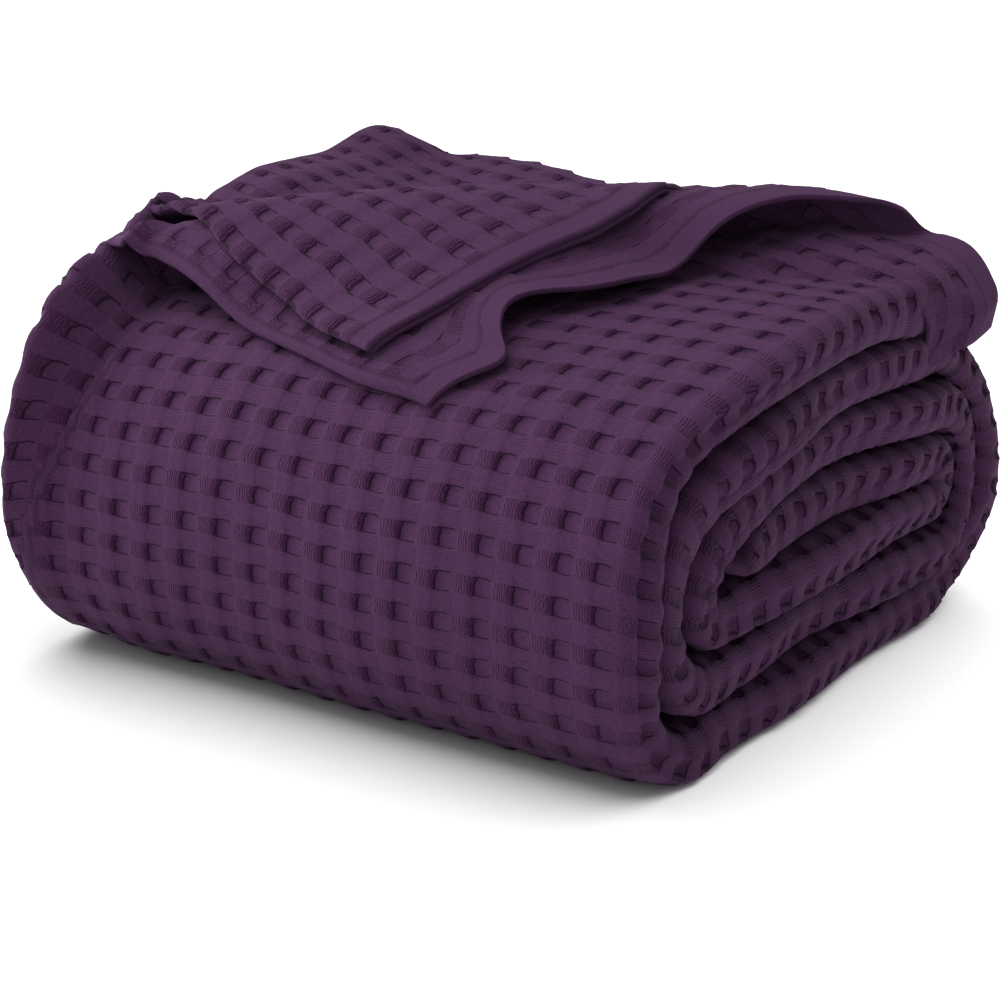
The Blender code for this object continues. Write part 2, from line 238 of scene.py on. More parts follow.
# %% The section and the swelling at its left end
HALF_FLAT, ROUND_REACH = 136.0, 12.0  # half the flat face, and how far an end stands past it
ROUND_LENGTH = math.pi * (ROUND_REACH + STRIP_THICK / 2) / 2
STRIP_END = HALF_FLAT + ROUND_REACH
CENTRE_X = -1.5
SWELL_RUN = (145, 165, 190, 205, 222, 240, 252, 277, 300, 326, 360)
SWELL_OUT = (0, 13, 26, 30, 30, 27, 23, 17, 12, 5, 0)
SWELL_FROM_X, SWELL_REACH = -116.0, 30.0
GATHER_FROM_X, GATHER_REACH, SLACK = -106.0, 44.0, 1.1


def swell(x, run):
    """How far the outermost turn stands out near the strip's left end."""
    return smooth((SWELL_FROM_X - x) / SWELL_REACH) * np.interp(run, SWELL_RUN, SWELL_OUT)


def gathered(a, run):
    """Where cloth lies that has to reach over the standing-out left end."""
    rise = SLACK * np.interp(run, SWELL_RUN, SWELL_OUT)
    taken_up = np.sqrt(SWELL_REACH**2 + rise**2) - SWELL_REACH
    from_end = a + HALF_FLAT + ROUND_LENGTH
    return a + taken_up * smooth((GATHER_FROM_X - a) / GATHER_REACH) * smooth((from_end + 40) / 40)


print("the left end stands out by at most %.0f mm" % max(SWELL_OUT))

# %% How far the two ends of each turn stand out
# Waves are rows of (height, length of run for one radian, start).
END_WAVES = ((3.0, 61, 0.0), (2.0, 23, 1.0))
RIGHT_END_RUN = (335, 362, 400, 425, 445, 500, 555, 580, 600, 620, 650, 672, 688, 702, 722, 745, 785)
RIGHT_END_OUT = (0, 3.5, 0.5, -1, -2.5, -2, -2, -4.5, -1, 3.5, 5, 3.5, 0, -4, -2.5, 1, 0)


def waves(run, rows):
    return sum(height * np.sin(run / length + start) for height, length, start in rows)


def end_shift(run, side=1):
    """How far a turn's end stands out along the roll."""
    right = np.interp(run, RIGHT_END_RUN, RIGHT_END_OUT, left=0, right=0) * (side > 0)
    return waves(run, END_WAVES) + right


print("ends stand out by", np.round(end_shift(np.array([0, 200, 400, 600])), 1), "mm")


# %% How the outermost turn settles
# Its own weight presses its front down to the floor, so its lower front is squarer than an arc.
SETTLE_RUN = (305, 325, 340, 350, 362, 378, 590, 620, 655, 685)
SETTLE_OUT = (0, 1.4, 3.3, 3.6, 2.2, 0, 0, 1.0, 1.0, 0)


def settle(x, run):
    """How far the strip lies outside its even winding."""
    return np.interp(run, SETTLE_RUN, SETTLE_OUT) * smooth((x + 138) / 45)


# %% [markdown]
# ## The crease and the raised back
# Seen from above, the outermost ply is turned over along a slanting line, the crease. We measure
# places along it and in front of it. Behind it lie more plies, so the roll's top rises there in a
# few soft hills.

# %% The crease, seen from above
CREASE_LEFT, CREASE_RIGHT = np.array([-136.0, -94.0]), np.array([125.0, 111.0])
CREASE_LENGTH = np.linalg.norm(CREASE_RIGHT - CREASE_LEFT)
CREASE_ALONG = (CREASE_RIGHT - CREASE_LEFT) / CREASE_LENGTH
CREASE_FRONT = np.array([CREASE_ALONG[1], -CREASE_ALONG[0]])
MIDDLE = np.array([1.5, -5.3])  # from these plans to the model's own origin


def crease_coordinates(x, y):
    """Distance along the crease from its left end, and in front of it."""
    dx, dy = x - CREASE_LEFT[0], y - CREASE_LEFT[1]
    along = dx * CREASE_ALONG[0] + dy * CREASE_ALONG[1]
    return along, dx * CREASE_FRONT[0] + dy * CREASE_FRONT[1]


print("the crease is %.0f mm long" % CREASE_LENGTH)

# %% The raised back
HILL_START, HILL_RISE = 18.0, 40.0  # how far behind the crease it rises
HILL_LOW, HILL_LOW_TO_X, HILL_LOW_REACH = 8.0, 60.0, 70.0
HILL_LEFT, HILL_LEFT_X, HILL_LEFT_REACH = 14.0, -148.0, 78.0
HILL_BUMPS = (  # height, middle x and y, reach in x and y
    (8.0, -140, 84, 42, 42),
    (-5.0, -148, -30, 45, 36),
    (6.5, -72, 104, 55, 55),
)
SHOULDER = (12.0, -148, -62, 38, 38)  # the same, for the strip's left edge
BACK_FALL = 5.5  # how it falls at the back left corner


def bump(x, y, height, middle_x, middle_y, reach_x, reach_y):
    """A soft round hill."""
    return height * smooth(1 - np.hypot((x - middle_x) / reach_x, (y - middle_y) / reach_y))


def hill(x, y):
    """How far the plies behind the crease raise the roll's top."""
    behind = -crease_coordinates(x, y)[1]
    low = HILL_LOW * smooth((HILL_LOW_TO_X - x) / HILL_LOW_REACH)
    left = HILL_LEFT * smooth(1 - (x - HILL_LEFT_X) / HILL_LEFT_REACH)
    fall = BACK_FALL * smooth((y - 90) / 22) * smooth(1 - np.abs(x + 124) / 34)
    bumps = sum(bump(x, y, *row) for row in HILL_BUMPS)
    return (low + left + bumps - fall) * smooth((behind - HILL_START) / HILL_RISE)


def shoulder(x, y):
    """How far the strip's left edge stands up in the hollow under the doubled ply's corner."""
    behind = -crease_coordinates(x, y)[1]
    return bump(x, y, *SHOULDER) * smooth((behind - 4) / 16)


print("the back is raised by %.1f mm at the left, %.1f mm in the middle" % (hill(-140, 80), hill(0, 80)))

# %% The folded ends of the strip
# The plies fold in two bundles there, so a groove runs along the end, deep in some places and
# closed in others, and the ends are plump and uneven.
GROOVE_DEPTH, GROOVE_WIDTH = 4.6, 0.24  # mm, and radians round the end
GROOVE_RUN = (0, 150, 200, 262, 300, 345, 420, 560, 700, 860, 1000, 1180, 1300, 1500, 1700, 1900)
GROOVE_SHARE = (0.3, 0.2, 0.7, 1.0, 1.0, 0.5, 0.2, 0.3, 0.1, 0.5, 0.1, 0.6, 0.2, 0.5, 0.2, 0.5)
END_SWELLING, END_LEAN = 1.3, 1.5  # mm


def end_form(turn, run):
    """What the groove and the unevenness add to the end's reach, in mm."""
    middle = math.pi / 2 + 0.30 * np.sin(run / 71 + 0.6)
    groove = np.exp(-(((turn - middle) / GROOVE_WIDTH) ** 2)) * np.interp(run, GROOVE_RUN, GROOVE_SHARE)
    swelling = END_SWELLING * np.sin(run / 13.7 + 1.1 * np.sin(run / 57)) * np.sin(turn) ** 2
    lean = END_LEAN * np.sin(run / 31 + 2.0) * np.sin(2 * turn)
    return swelling + lean - GROOVE_DEPTH * groove


# %% A point of the strip's surface
FREE_THICK_AT, FREE_THICK = (0, 6, 18, 35, 53), (0.3, 0.62, 0.92, 1.0, 1.0)  # its free end thins out
SAG, SAG_RUN = 4.5, 45.0  # near there it hangs fuller underneath
LEAST_HEIGHT = 0.15  # the lowest that cloth lies over the floor


def off_line(run, out):
    """The (y, z) of a point that lies this far outside the strip's middle line."""
    return [np.interp(run, RUN, LINE[:, k]) + out * np.interp(run, RUN, OUTWARDS[:, k]) for k in (0, 1)]


def strip_point(a, run, lift, inner_thick=STRIP_THICK / 2):
    """The point at the distance a round the section from its middle, lifted off its face."""
    side = np.sign(a)
    turn = np.clip((np.abs(a) - HALF_FLAT) / ROUND_LENGTH, 0, 1) * math.pi
    past = np.maximum(np.abs(a) - HALF_FLAT - ROUND_LENGTH, 0)
    flat_x = side * np.minimum(np.abs(a), HALF_FLAT) - side * past
    from_end = np.minimum(run, RUN[-1] - run)
    thick = np.interp(from_end, FREE_THICK_AT, FREE_THICK)
    up = np.cos(turn)
    full = SAG * smooth(1 - np.abs(run - SAG_RUN) / SAG_RUN)
    half = np.where(up > 0, STRIP_THICK / 2, inner_thick + full) * thick
    half = half + np.where(up > 0, swell(flat_x + side * ROUND_REACH * np.sin(turn), run), 0)
    x = flat_x + side * (ROUND_REACH + lift + end_form(turn, run)) * np.sin(turn)
    x = x + side * end_shift(run, side) * (np.minimum(np.abs(flat_x) / HALF_FLAT, 1)) ** 4
    y, z = off_line(run, up * (half + lift) + settle(x, run))
    on_top = smooth((TOP_END + 12 - run) / 24) * np.clip(up, 0, 1)
    z = z + (hill(x, y + MIDDLE[1]) + shoulder(x, y + MIDDLE[1])) * on_top
    return np.stack([x + CENTRE_X, y, np.maximum(z, LEAST_HEIGHT)], axis=-1)


middle_of_top = strip_point(np.zeros(1), np.full(1, 100.0), 0.0)[0]
print("the roll's top at its middle is %.0f mm high" % middle_of_top[2])


# %% [markdown]
# ## Turning a plan into cloth
# Each piece starts as a flat grid with one line for each edge of the blocks. A helper makes the
# grid with Blender's own grid tool, moves its points, and writes the weave's u and v on it as
# a map, which the cotton's finish reads. A second number on each point says where the cloth
# is plain woven, as at a hem. A third says how much painted light and shade the cells get
# where the cloth folds round.

# %% Helpers for cloth
scene = bpy.context.scene
COLLECTION = bpy.data.collections.new("waffle_blanket_cloth")
scene.collection.children.link(COLLECTION)


def woven_grid(columns, rows):
    """A flat grid, and the column and row of each of its points."""
    mesh = bmesh.new()
    bmesh.ops.create_grid(mesh, x_segments=columns, y_segments=rows, size=1.0)
    co = np.array([vert.co for vert in mesh.verts])
    i = np.rint((co[:, 0] + 1) / 2 * columns).astype(int)
    j = np.rint((co[:, 1] + 1) / 2 * rows).astype(int)
    return mesh, i, j


def cloth_object(name, mesh, points, u, v, plain, painted_fold_shading):
    """Ends a piece: points in mm, map of cells, plain parts, and how much painted light and shade the
    folds get.
    """
    data = bpy.data.meshes.new(name)
    mesh.to_mesh(data)
    mesh.free()
    data.vertices.foreach_set("co", (points * MM).astype(np.float32).ravel())
    corner = np.empty(len(data.loops), int)
    data.loops.foreach_get("vertex_index", corner)
    weave = data.uv_layers.new(name="weave")
    weave.uv.foreach_set("vector", np.stack([u, v], 1)[corner].astype(np.float32).ravel())
    for key, values in (("plain_band", plain), ("painted_fold_shading", painted_fold_shading)):
        attribute = data.attributes.new(key, "FLOAT", "POINT")
        attribute.data.foreach_set("value", values.astype(np.float32))
    data.update()
    data.shade_smooth()
    obj = bpy.data.objects.new(name, data)
    COLLECTION.objects.link(obj)
    return obj


def tidy_mesh(obj, caps=False):
    """Joins points that meet, closes open ends if asked to, and turns all faces outwards."""
    mesh = bmesh.new()
    mesh.from_mesh(obj.data)
    bmesh.ops.remove_doubles(mesh, verts=mesh.verts, dist=1e-5)
    if caps:
        bmesh.ops.holes_fill(mesh, edges=[e for e in mesh.edges if e.is_boundary], sides=0)
    bmesh.ops.recalc_face_normals(mesh, faces=mesh.faces)
    mesh.to_mesh(obj.data)
    mesh.free()
    print(obj.name, "has", len(obj.data.polygons), "faces")


# %% [markdown]
# ## The outermost turn
# This is most of what shows: the top, the front, the floor side and the back. Its outer ply
# ends at the left in a selvedge, a narrow plain band that runs slightly askew down the front,
# and the fold of the plies under it shows beside it. So the face steps down by one ply there.

# %% The selvedge down the front
SELVEDGE_RUN = (150, 215, 245, 285, 330, 400, 620, 760)
SELVEDGE_X = (-118, -114, -120, -133, -143, -150, -146, -140)
SELVEDGE_WIDTH, PLY = 5.5, 1.3


def selvedge_step(x, run):
    """(how far the face lies below the outer ply, 1 on the selvedge's plain band)"""
    past = x - np.interp(run, SELVEDGE_RUN, SELVEDGE_X)
    on_strip = smooth((run - SELVEDGE_RUN[0]) / 30)
    drop = PLY * (1 - smooth(past / 1.8)) * on_strip
    band = window(past, 0.5, SELVEDGE_WIDTH, 0.8) * on_strip
    return drop, band


# %% How the face and the rounded ends lie
ROUND_RELIEF, ROUND_RIDGE = 1.9, 0.6  # where the plies fold, cells stand out and rows make ridges
SHEAR = 0.24  # and lie askew there: cells along for each cell round


def unevenness(x, run):
    """Soft dents and swellings of the face, in mm."""
    broad = 0.8 * np.sin(x / 41 + 0.8 * np.sin(run / 57)) * np.sin(run / 47 + 1.3)
    return broad + 0.35 * np.sin(x / 17.5 + run / 29 + 2.0)


# %% Lay out and bend the outermost turn
RING_END = HALF_FLAT + ROUND_LENGTH  # where the inner, hidden face starts
WOVEN_TO = RING_END + 4  # cells are laid out a little past it


def lines_across(all_of_it):
    """The lines of the grid across the strip: fine where it shows, few where it doesn't."""
    edge = WOVEN_TO / CELL
    fine = (cell_lines(-edge + COLUMN_SHIFT, edge + COLUMN_SHIFT, LINES_U) - COLUMN_SHIFT) * CELL
    if not all_of_it:
        ends = fine[np.abs(fine) > HALF_FLAT - 26]
        fine = np.array([*ends[ends < 0], *np.linspace(-90, 90, 7), *ends[ends > 0]])
    hidden = np.linspace(edge * CELL, RING_END + HALF_FLAT, 6)[1:]
    return np.array([*(-hidden[::-1]), *fine, *hidden])


def turn_piece(name, run_from, run_to, outermost):
    """One stretch of the strip, closed all round, with its cells in relief."""
    across = lines_across(outermost)
    rows = cell_lines(*np.interp([run_from, run_to], RUN, ROWS), LINES_V)
    mesh, i, j = woven_grid(len(across) - 1, len(rows) - 1)
    a, v = across[i], rows[j]
    u = a / CELL + COLUMN_SHIFT
    on_face = smooth((WOVEN_TO - np.abs(a)) / 6)
    flat_run = np.interp(v, ROWS, RUN)
    drop, band = selvedge_step(a, flat_run) if outermost else (0 * a, 0 * a)
    far_from_ends = smooth((v - rows[0]) / 2) * smooth((rows[-1] - v) / 2)
    askew = SHEAR * np.clip((np.abs(a) - HALF_FLAT) / CELL, 0, 2.2) * far_from_ends
    moved_u, moved_v = pulled(u, v)
    calm = on_face * far_from_ends
    a = gathered(a + (moved_u - u) * CELL * calm, flat_run)
    run = np.interp(v + (moved_v - v) * calm + askew, ROWS, RUN)
    past = np.abs(a) - HALF_FLAT
    on_round = smooth((past + 8) / 16)
    gain = 1 + (ROUND_RELIEF - 1) * on_round
    ridge = -ROUND_RIDGE * np.cos(2 * math.pi * (v - 0.25)) * on_round
    lift = (relief(u, v) * gain + ridge) * (1 - band) * on_face - drop * on_face
    lift = lift + unevenness(a, run) * smooth((14 - past) / 20)
    points = strip_point(a, run, lift, inner_thick=STRIP_THICK / 2 + 1.0)
    # How much painted light and shade the cells get: full where the plies fold round the right end,
    # about half at the left end, and 0.7 over the outermost turn's top.
    painted_fold_shading = smooth((past + 6) / 14) * (1 - 0.5 * smooth((-a - HALF_FLAT + 20) / 14))
    painted_fold_shading = np.maximum(painted_fold_shading, 0.7 * smooth((TOP_END + 15 - run) / 50) * outermost)
    return cloth_object(name, mesh, points, u, v, band, painted_fold_shading)


outer_turn = turn_piece("outer_turn", 0.0, FIRST_TURN_END, True)
tidy_mesh(outer_turn, caps=True)

# %% [markdown]
# ## The inner turns
# Only their two ends show, where the plies fold round. They are the same strip, run on to the
# core, with few grid lines on the hidden faces.

# %% The inner turns
inner_turns = turn_piece("inner_turns", FIRST_TURN_END, RUN[-1], False)
tidy_mesh(inner_turns, caps=True)

# %% [markdown]
# ## The turned-back corner
# Cut flat, this ply runs from the roll's front to its hem at the back. Its left back corner is
# folded forwards along a slanting crease. A sheet that bends round a crease keeps its lengths,
# so we measure how far each point lies past the crease and wrap that length round a loop.

# %% The roll's top under the loose end
TOP_RUNS = np.linspace(0, TOP_END + 62, 160)


def top_height(x, y):
    """The roll's top at this place of the plan, before the hill is added."""
    columns = np.arange(-150, 151, 10.0)
    heights = []
    for column in columns:
        face_y, face_z = off_line(TOP_RUNS, STRIP_THICK / 2 + swell(column, TOP_RUNS))
        heights.append(np.interp(y - MIDDLE[1], face_y[::-1], face_z[::-1]))
    heights = np.array(heights)
    at = np.clip((np.asarray(x, float) - columns[0]) / 10, 0, len(columns) - 1.001)
    low = at.astype(int)
    rest = at - low
    index = np.arange(heights.shape[1])
    return heights[low, index] * (1 - rest) + heights[low + 1, index] * rest


def over_roll(x, y, height):
    """Points this far off the roll's top, which slopes down towards the front."""
    slope = (top_height(x, y + 2) - top_height(x, y - 2)) / 4
    return np.stack([x, y, top_height(x, y) + height * np.sqrt(1 + slope**2)], axis=-1)


# %% Where the ply leaves the roll's face
# In front of this line it is one with the face, and the cells run on across it.
ROOT_LEFT, ROOT_RIGHT = np.array([-151.0, -101.0]), np.array([160.0, 62.0])
ROW_START_Y = LINE[0, 0] + MIDDLE[1]  # where the rows of cells start, at the free end


def behind_root(x, y):
    root = ROOT_RIGHT - ROOT_LEFT
    return (root[0] * (y - ROOT_LEFT[1]) - root[1] * (x - ROOT_LEFT[0])) / np.linalg.norm(root)


# %% The fold's section
# It stands higher towards the hem at the right, and is pinched at both of its ends.
LOOP_RADIUS, HEM_LOOP_RADIUS = 10.0, 13.0
LEFT_PINCH, RIGHT_PINCH = 2.5, 3.2  # how much smaller the loop is at its ends
LIFT_HEIGHT, LIFT_LENGTH = 12.5, 48.0  # near the hem the ply rises before it turns over
LAY_DOWN_LEFT, LAY_DOWN_RIGHT = 52.0, 104.0  # the length in which it comes down again
PLY_RISE, LAID = 2.8, 0.8  # a ply's middle over the roll; what a second one adds
LAID_LENGTH = 0.98  # level length of each mm that is laid down


def fold_section(along, reach):
    """Where cloth at this distance past the crease lies: (in front of the crease, height)."""
    share = along / CREASE_LENGTH
    lift = LIFT_HEIGHT * smooth((share - 0.6) / 0.4)
    fuller = (HEM_LOOP_RADIUS - LOOP_RADIUS) * smooth((share - 0.55) / 0.4)
    pinch = LEFT_PINCH * (1 - smooth((along + 8) / 36)) + RIGHT_PINCH * smooth((share - 0.82) / 0.16)
    radius = LOOP_RADIUS + fuller - lift / 2 - pinch
    angle = np.clip(reach / radius, 0, math.pi)
    ahead = np.maximum(reach - math.pi * radius, 0)
    length = LAY_DOWN_LEFT + (LAY_DOWN_RIGHT - LAY_DOWN_LEFT) * smooth(2 * share)
    top = lift + 2 * radius
    laid = top + (LAID - top) * smooth(ahead / length)
    front = np.where(reach <= 0, -reach, ahead * LAID_LENGTH - radius * np.sin(angle))
    looped = lift + radius * (1 - np.cos(angle))
    before = lift * smooth(1 + reach / LIFT_LENGTH)
    return front, np.where(ahead > 0, laid, np.where(reach <= 0, before, looped))


crest = [fold_section(share * CREASE_LENGTH, 30.0)[1] for share in (0.1, 0.5, 0.9)]
print("the loop is %.0f, %.0f and %.0f mm high along the crease" % tuple(crest))

# %% The ripples of its hem
LEFT_EDGE, FREE_EDGE_Y = -151.0, 113.0
RIPPLES = (  # place along the hem, width, push sideways, rise
    (24, 15, 12.0, 0.0),
    (64, 24, -16.0, 6.0),
    (134, 22, 0.0, -8.5),
    (165, 40, -6.0, 3.0),
    (188, 20, 0.0, 1.0),
)
RIPPLE_DEPTH = 60.0  # how far from the hem they fade out


def hem_ripple(along_hem, from_hem):
    """The ripples' (sideways, lift) at a place of the turned-back ply."""
    fade = smooth(1 - from_hem / RIPPLE_DEPTH)
    sideways = lift = 0.0
    for at, width, push, rise in RIPPLES:
        wave = fade * np.exp(-(((along_hem - at) / width) ** 2))
        sideways = sideways + push * wave
        lift = lift + rise * wave
    return sideways, lift


# %% How its edges bend
LIP_FORWARD, LIP_DROP, LIP_REACH = 9.0, 8.0, 30.0  # the laid-down part, at its left end
END_LEFT, END_DROP = 8.0, 8.0  # the crest's left end
TIP_BACK, TIP_UP = 6.0, 2.5  # the free corner's tip
OUTER_X = (76, 90, 101, 110, 120, 130, 143, 157, 171, 184)
OUTER_DROP = (0, 2.2, 5.5, 8.0, 8.8, 8.0, 6.5, 8.0, 5.0, -1.0)  # the hem's right end sinks
OUTER_BACK = (0, 0, 1, 2, 5, 5, -2.5, -9.0, -13.0, -14.0)  # and swings forwards


def bend_edges(points, x, y, flat_x, ahead, turned):
    lip = smooth((-112 - flat_x) / LIP_REACH) * smooth((-ahead - 14) / 18)
    end = smooth((-122 - flat_x) / 28) ** 2 * turned
    tip = np.exp(-(((x - LEFT_EDGE) / 30) ** 2)) * smooth(1 - (FREE_EDGE_Y - y) / 40) * turned
    outer = smooth((y - 60) / 50) * (1 - turned)
    points[:, 0] -= END_LEFT * end
    points[:, 1] += TIP_BACK * tip - LIP_FORWARD * lip
    points[:, 1] += np.interp(flat_x, OUTER_X, OUTER_BACK) * outer
    points[:, 2] += TIP_UP * tip - LIP_DROP * lip - END_DROP * end
    points[:, 2] -= np.interp(flat_x, OUTER_X, OUTER_DROP) * outer


# %% Round the roll's ends
# Cloth that reaches past the flat part follows the end's round, and hangs free near the hem.
RIGHT_WRAP, HEM_WRAP = 37.0, 46.0  # the length past the flat part, and the same at the hem
ROOT_CLEAR, WRAP_CLEAR, HEM_CLEAR = 1.2, 5.6, 7.0  # how far outside the round it lies
HANG_LEAN = 0.12  # how much what hangs leans inwards


def round_end(x, y, points, hold):
    """Takes cloth that reaches past either end of the roll round that end."""
    side = np.sign(x)
    at_hem = smooth((y - 58) / 44) * (x > 0)
    across = ROUND_REACH + ROOT_CLEAR + WRAP_CLEAR * smooth(behind_root(x, y) / 34) + HEM_CLEAR * at_hem
    down = STRIP_THICK / 2 + PLY_RISE + 3 * smooth((y - 20) / 40) * (x > 0)
    arc = np.sqrt((across**2 + down**2) / 2)
    past = np.maximum(np.abs(x) - HALF_FLAT, 0)
    hanging = at_hem * np.maximum(past - arc * math.pi / 2, 0)
    angle = past / arc
    angle = np.where(at_hem > 0, np.minimum(angle, math.pi / 2) * at_hem + angle * (1 - at_hem), angle)
    over = np.abs(x) > HALF_FLAT
    out = points.copy()
    reach = HALF_FLAT + across * np.sin(angle) - HANG_LEAN * hanging
    out[:, 0] = np.where(over, side * reach, points[:, 0])
    out[:, 2] = points[:, 2] - np.where(over, (down * (1 - np.cos(angle)) + hanging) * hold, 0)
    return out


# %% A point of the turned-back ply
ROOT_SINK, BURIED = PLY_RISE + 1.4, 9.0  # how deep its root lies in the roll, and at the left end
SELVEDGE_LIFT, LIFT_AT_X = 4.0, -85.0  # its selvedge stands off the roll there


def turned_back_point(x, y):
    """The outermost ply's point that lay at (x, y) on the roll before its corner was turned."""
    place, ahead = crease_coordinates(x, y)
    front_by, height = fold_section(place, -ahead)
    flat_x, flat_y = (
        CREASE_LEFT[k] + CREASE_ALONG[k] * place + CREASE_FRONT[k] * front_by for k in (0, 1)
    )
    turned = smooth(-ahead / (2 * LOOP_RADIUS))
    sideways, rise = hem_ripple(x + STRIP_END, FREE_EDGE_Y - y)
    near_selvedge = smooth((45 - x + LEFT_EDGE) / 40)
    rise = rise + SELVEDGE_LIFT * np.exp(-(((flat_x - LIFT_AT_X) / 20) ** 2)) * near_selvedge
    sunk = ROOT_SINK * (1 - smooth(behind_root(x, y) / 16))
    sunk = sunk + BURIED * smooth((-116 - x) / 22) * (1 - turned)
    dents = unevenness(x, ROW_START_Y - y) * (1 - turned)
    base_x = np.clip(flat_x, -HALF_FLAT + 9 * turned, HALF_FLAT)
    points = over_roll(base_x, flat_y, height + rise * turned + PLY_RISE - sunk + dents)
    points[:, 0] += sideways * turned
    bend_edges(points, x, y, flat_x, ahead, turned)
    return round_end(flat_x + sideways * turned, flat_y, points, 1 - turned)


corner = turned_back_point(np.array([LEFT_EDGE]), np.array([FREE_EDGE_Y]))[0]
print("the free corner comes to lie at", np.round(corner), "mm")

# %% Relief on a bent sheet
def raised(place, x, y, lift, step=0.5):
    """The model's points on the surface that place() gives, lifted along its normals."""
    normal = np.cross(place(x + step, y) - place(x - step, y), place(x, y + step) - place(x, y - step))
    normal = normal / np.maximum(np.linalg.norm(normal, axis=1), 1e-9)[:, None]
    return place(x, y) + normal * lift[:, None] - (*MIDDLE, 0.0)


# %% Cut and fold the turned-back ply
HEM_WIDTH, PLY_SELVEDGE, SHEET_THICK = 12.0, 5.5, 2.0


def hem_bands(from_hem, from_selvedge):
    """1 on the plain woven hem and selvedge."""
    hem = smooth((HEM_WIDTH - from_hem) / 1.0 + 0.5)
    return np.maximum(hem, smooth((PLY_SELVEDGE - from_selvedge) / 0.8 + 0.5))


def row_at(y):
    """The count of rows at this place of the roll's top."""
    return (ROW_START_Y - y) / PITCH_TOP + ROW_SHIFT


def cut_ply(left, right, front):
    """The flat ply, cut along its root, as (mesh, x, y)."""
    across = cell_lines(left / CELL + COLUMN_SHIFT, right / CELL + COLUMN_SHIFT, LINES_U)
    down = cell_lines(row_at(FREE_EDGE_Y), row_at(front), LINES_V)
    mesh, i, j = woven_grid(len(across) - 1, len(down) - 1)
    x_lines, y_lines = (across - COLUMN_SHIFT) * CELL, ROW_START_Y - (down - ROW_SHIFT) * PITCH_TOP
    for vert, x, y in zip(mesh.verts, x_lines[i], y_lines[j]):
        vert.co = (x, y, 0)
    root = ROOT_RIGHT - ROOT_LEFT
    bmesh.ops.bisect_plane(
        mesh, geom=mesh.verts[:] + mesh.edges[:] + mesh.faces[:], dist=1e-3,
        plane_co=(*ROOT_LEFT, 0), plane_no=(root[1], -root[0], 0), clear_outer=True,
    )
    flat = np.array([vert.co for vert in mesh.verts])
    return mesh, flat[:, 0], flat[:, 1]


def build_turned_back_ply():
    mesh, x, y = cut_ply(LEFT_EDGE, HALF_FLAT + HEM_WRAP, ROOT_LEFT[1] - 8)
    u, v = x / CELL + COLUMN_SHIFT, row_at(y)
    plain = hem_bands(FREE_EDGE_Y - y, x - LEFT_EDGE)
    upwards = 1 - 2 * smooth(-crease_coordinates(x, y)[1] / (2 * LOOP_RADIUS))
    lift = relief(u, v) * (1 - plain) * upwards
    moved_u, moved_v = pulled(u, v)
    x = x + (moved_u - u) * CELL * (1 - plain)
    y = y - (moved_v - v) * PITCH_TOP * (1 - plain)
    hang = RIGHT_WRAP + (HEM_WRAP - RIGHT_WRAP) * smooth((y - 40) / 40)
    x = np.where(x > HALF_FLAT, HALF_FLAT + (x - HALF_FLAT) * hang / HEM_WRAP, x)
    points = raised(turned_back_point, x, y, lift)
    # How much painted light and shade the cells get where the ply wraps round the right end, less
    # towards the hem.
    painted_fold_shading = smooth((x - HALF_FLAT + 6) / 14) * (1 - 0.6 * smooth((y - 70) / 25))
    return cloth_object("turned_back_corner", mesh, points, u, v, plain, painted_fold_shading)


def give_thickness(piece):
    """Makes a sheet as thick as a ply."""
    ply = piece.modifiers.new("Ply thickness", "SOLIDIFY")
    ply.thickness = SHEET_THICK * MM
    ply.offset = 0.0


turned_back = build_turned_back_ply()
tidy_mesh(turned_back)
give_thickness(turned_back)

# %% [markdown]
# ## The doubled ply on top
# Two plies of the loose end, folded at the front and open at the hem, lie over the turned-back
# corner. We lay out both as one sheet: it runs forwards from the back, turns round the front
# fold, and runs back underneath.

# %% The doubled ply's outline
TOP_FRONT_X = (-140, -109, -85, -66, -45, -22, 8)
TOP_FRONT_Y = (-66, -73, -84, -89, -95, -106, -114)
TOP_HEM_Y = (-114, -88, -38, -12, 12, 40, 70, 111)
TOP_HEM_X = (8, 14, 31, 41, 44, 41, 34, 31)
TOP_BACK_Y, TOP_SPREAD = 111.0, 30.0
TOP_RISE, BACK_RISE = 4.6, 3.9  # its middle over the turned ply's, and over the raised back
CORNER_SINK, CORNER_REACH = 2.0, 26.0  # its left front corner lies a little lower
HEM_CURL, HEM_CURL_REACH, HEM_CURL_FROM, HEM_CURL_TO = 9.0, 45.0, 20.0, 90.0


def upper_height(x, y):
    """The doubled ply lies over the turned corner, crests on its crease and runs back."""
    place, ahead = crease_coordinates(x, y)
    gap = PLY_RISE + TOP_RISE
    crest = 2 * LOOP_RADIUS + gap
    corner = bump(x, y, CORNER_SINK, TOP_FRONT_X[0], TOP_FRONT_Y[0], CORNER_REACH, CORNER_REACH)
    past_loop = np.maximum(ahead, 0) / LAID_LENGTH + math.pi * LOOP_RADIUS
    in_front = fold_section(place, past_loop)[1] + gap
    curl = smooth(1 - (np.interp(y, TOP_HEM_Y, TOP_HEM_X) - x) / HEM_CURL_REACH)
    curl = curl * HEM_CURL * smooth((y - HEM_CURL_FROM) / (HEM_CURL_TO - HEM_CURL_FROM))
    plateau = hill(x, y) + BACK_RISE + curl
    over_loop = crest + (plateau - crest) * smooth(-ahead / (HILL_START + HILL_RISE))
    return np.where(ahead >= 0, in_front, np.maximum(over_loop, plateau)) - corner


def upper_plan(s, t):
    """The plan's (x, y) at the share s from left to hem and the share t from front to back."""
    left, tip = TOP_FRONT_X[0], TOP_FRONT_X[-1]
    front_x = left + (tip - left) * s
    front_y = np.interp(front_x, TOP_FRONT_X, TOP_FRONT_Y)
    y = front_y + (TOP_BACK_Y - front_y) * t
    hem_x = np.interp(y, TOP_HEM_Y, TOP_HEM_X)
    return front_x + (hem_x - tip) * s * np.sqrt(smooth((y - front_y) / TOP_SPREAD)), y


